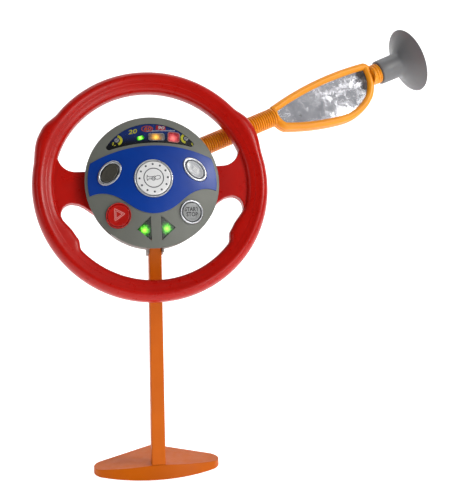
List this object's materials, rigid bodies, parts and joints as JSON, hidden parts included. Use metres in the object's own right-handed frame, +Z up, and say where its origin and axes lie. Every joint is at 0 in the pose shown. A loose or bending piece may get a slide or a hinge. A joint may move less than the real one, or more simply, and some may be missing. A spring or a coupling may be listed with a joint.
{
  "type": "toy steering wheel console",
  "caption": "Toy back-seat driving console: steering wheel round a push-button dash, stem with lap foot, and bendable arm with toy mirror and suction cup.",
  "frame": {"origin": "centre of the stem in the plane of the foot's sole", "axes": "+X to the driver's right, +Y away from the driver, +Z up along the stem"},
  "size_m": [0.4373, 0.2225, 0.4434],
  "materials": {
    "red_abs": "glossy moulded",
    "grey_abs": "satin moulded",
    "casing_abs": "satin moulded",
    "blue_abs": "satin moulded",
    "orange_abs": "satin moulded",
    "yellow_pe": "satin blow moulded",
    "chrome_plate": "plated",
    "white_abs": "glossy moulded",
    "dark_cap": "glossy moulded",
    "silver_cap": "silver lacquer",
    "button_red": "glossy moulded",
    "clear_ps": "clear",
    "green_lens": "translucent",
    "amber_lens": "translucent",
    "red_lens": "translucent",
    "printed_card": "printed",
    "mirror_foil": "silvered foil",
    "cup_vinyl": "soft satin",
    "screw_steel": "zinc plated",
    "board": "solder mask",
    "switch_black": "moulded",
    "silicone": "soft",
    "cell_jacket": "printed jacket",
    "contact_steel": "nickel plated",
    "speaker_steel": "black frame"
  },
  "bodies": {
    "console": {"rear_casing": "casing_abs", "casing_screws": "screw_steel", "hub_face": "grey_abs", "blue_panel": "blue_abs", "switches": "switch_black", "circuit_board": "board", "leds": "green_lens", "turn_lenses": "green_lens", "dash_label": "printed_card", "dash_window": "clear_ps", "dial_screws": "chrome_plate", "retaining_washer": "screw_steel", "washer_screws": "screw_steel", "batteries": "cell_jacket", "battery_contacts": "contact_steel", "speaker": "speaker_steel", "green_lamp": "green_lens", "amber_lamp": "amber_lens", "red_lamp": "red_lens", "oval_bezels": "chrome_plate", "horn_bezel": "chrome_plate", "hazard_bezel": "button_red", "start_bezel": "chrome_plate", "horn_rubber": "silicone", "phone_rubber": "silicone", "radio_rubber": "silicone", "hazard_rubber": "silicone", "start_rubber": "silicone", "stem": "orange_abs", "stem_screws": "screw_steel", "foot": "orange_abs", "foot_screws": "screw_steel", "arm_plug": "yellow_pe", "arm_wire": "screw_steel"},
    "steering_wheel": {"wheel_front": "red_abs", "wheel_back": "red_abs", "wheel_screws": "screw_steel", "spoke_shields": "casing_abs"},
    "battery_cover": {"battery_door": "casing_abs", "door_screw": "screw_steel"},
    "horn_button": {"horn_cap": "white_abs"},
    "phone_button": {"phone_cap": "dark_cap"},
    "radio_button": {"radio_cap": "silver_cap"},
    "hazard_button": {"hazard_cap": "button_red"},
    "start_button": {"start_cap": "silver_cap"},
    "arm_1": {"arm_segment_1": "yellow_pe"},
    "arm_2": {"arm_segment_2": "yellow_pe"},
    "arm_3": {"arm_segment_3": "yellow_pe"},
    "arm_4": {"arm_segment_4": "yellow_pe"},
    "arm_5": {"arm_segment_5": "yellow_pe"},
    "mirror": {"arm_segment_6": "yellow_pe", "mirror_back": "yellow_pe", "mirror_frame": "yellow_pe", "mirror_film": "mirror_foil", "mirror_screws": "screw_steel"},
    "neck": {"neck_rib": "yellow_pe"},
    "cup": {"cup_plug": "yellow_pe", "suction_cup": "cup_vinyl"}
  },
  "joints": [
    {"name": "steering", "type": "hinge", "parent": "console", "child": "steering_wheel", "pos_m": [0, 0.0246, 0.3126], "axis": [0, -0.866, 0.5], "range_deg": [-20, 20]},
    {"name": "horn_press", "type": "slide", "parent": "console", "child": "horn_button", "axis": [0, 0.866, -0.5], "range_m": [0, 0.0015], "stiffness_N_per_m": 400, "springref_m": -0.0012, "deforming": ["horn_rubber"]},
    {"name": "phone_press", "type": "slide", "parent": "console", "child": "phone_button", "axis": [0, 0.866, -0.5], "range_m": [0, 0.0015], "stiffness_N_per_m": 400, "springref_m": -0.0012, "deforming": ["phone_rubber"]},
    {"name": "radio_press", "type": "slide", "parent": "console", "child": "radio_button", "axis": [0, 0.866, -0.5], "range_m": [0, 0.0015], "stiffness_N_per_m": 400, "springref_m": -0.0012, "deforming": ["radio_rubber"]},
    {"name": "hazard_press", "type": "slide", "parent": "console", "child": "hazard_button", "axis": [0, 0.866, -0.5], "range_m": [0, 0.0015], "stiffness_N_per_m": 400, "springref_m": -0.0012, "deforming": ["hazard_rubber"]},
    {"name": "start_press", "type": "slide", "parent": "console", "child": "start_button", "axis": [0, 0.866, -0.5], "range_m": [0, 0.0015], "stiffness_N_per_m": 400, "springref_m": -0.0012, "deforming": ["start_rubber"]},
    {"name": "battery_cover_lift", "type": "slide", "parent": "console", "child": "battery_cover", "axis": [0, 0.866, -0.5], "range_m": [0, 0.025]},
    {"name": "arm_bend_1", "type": "hinge", "parent": "console", "child": "arm_1", "pos_m": [0.05128, 0.06428, 0.33802], "axis": [0.1209, -0.834, 0.5384], "range_deg": [-15, 15], "deforming": ["arm_wire"]},
    {"name": "arm_bend_2", "type": "hinge", "parent": "arm_1", "child": "arm_2", "pos_m": [0.06566, 0.06898, 0.34208], "axis": [-0.3778, 0.4629, 0.8018], "range_deg": [-4, 12]},
    {"name": "arm_bend_3", "type": "hinge", "parent": "arm_2", "child": "arm_3", "pos_m": [0.08004, 0.07369, 0.34614], "axis": [0.1209, -0.834, 0.5384], "range_deg": [-15, 15]},
    {"name": "arm_bend_4", "type": "hinge", "parent": "arm_3", "child": "arm_4", "pos_m": [0.09442, 0.0784, 0.3502], "axis": [-0.3778, 0.4629, 0.8018], "range_deg": [-4, 12]},
    {"name": "arm_bend_5", "type": "hinge", "parent": "arm_4", "child": "arm_5", "pos_m": [0.1088, 0.0831, 0.35426], "axis": [0.1209, -0.834, 0.5384], "range_deg": [-15, 15]},
    {"name": "arm_bend_6", "type": "hinge", "parent": "arm_5", "child": "mirror", "pos_m": [0.12318, 0.0878, 0.35833], "axis": [-0.3778, 0.4629, 0.8018], "range_deg": [-4, 12]},
    {"name": "neck_turn", "type": "hinge", "parent": "mirror", "child": "neck", "pos_m": [0.25928, 0.13234, 0.39675], "axis": [0.1209, -0.834, 0.5384], "range_deg": [-12, 12]},
    {"name": "cup_tilt", "type": "hinge", "parent": "neck", "child": "cup", "pos_m": [0.26387, 0.13384, 0.39804], "axis": [-0.3778, 0.4629, 0.8018], "range_deg": [-12, 12]}
  ],
  "couplings": [
    {"joint": "arm_bend_3", "follows": "arm_bend_1", "ratio": 1},
    {"joint": "arm_bend_5", "follows": "arm_bend_1", "ratio": 1},
    {"joint": "arm_bend_4", "follows": "arm_bend_2", "ratio": 1},
    {"joint": "arm_bend_6", "follows": "arm_bend_2", "ratio": 1}
  ]
}
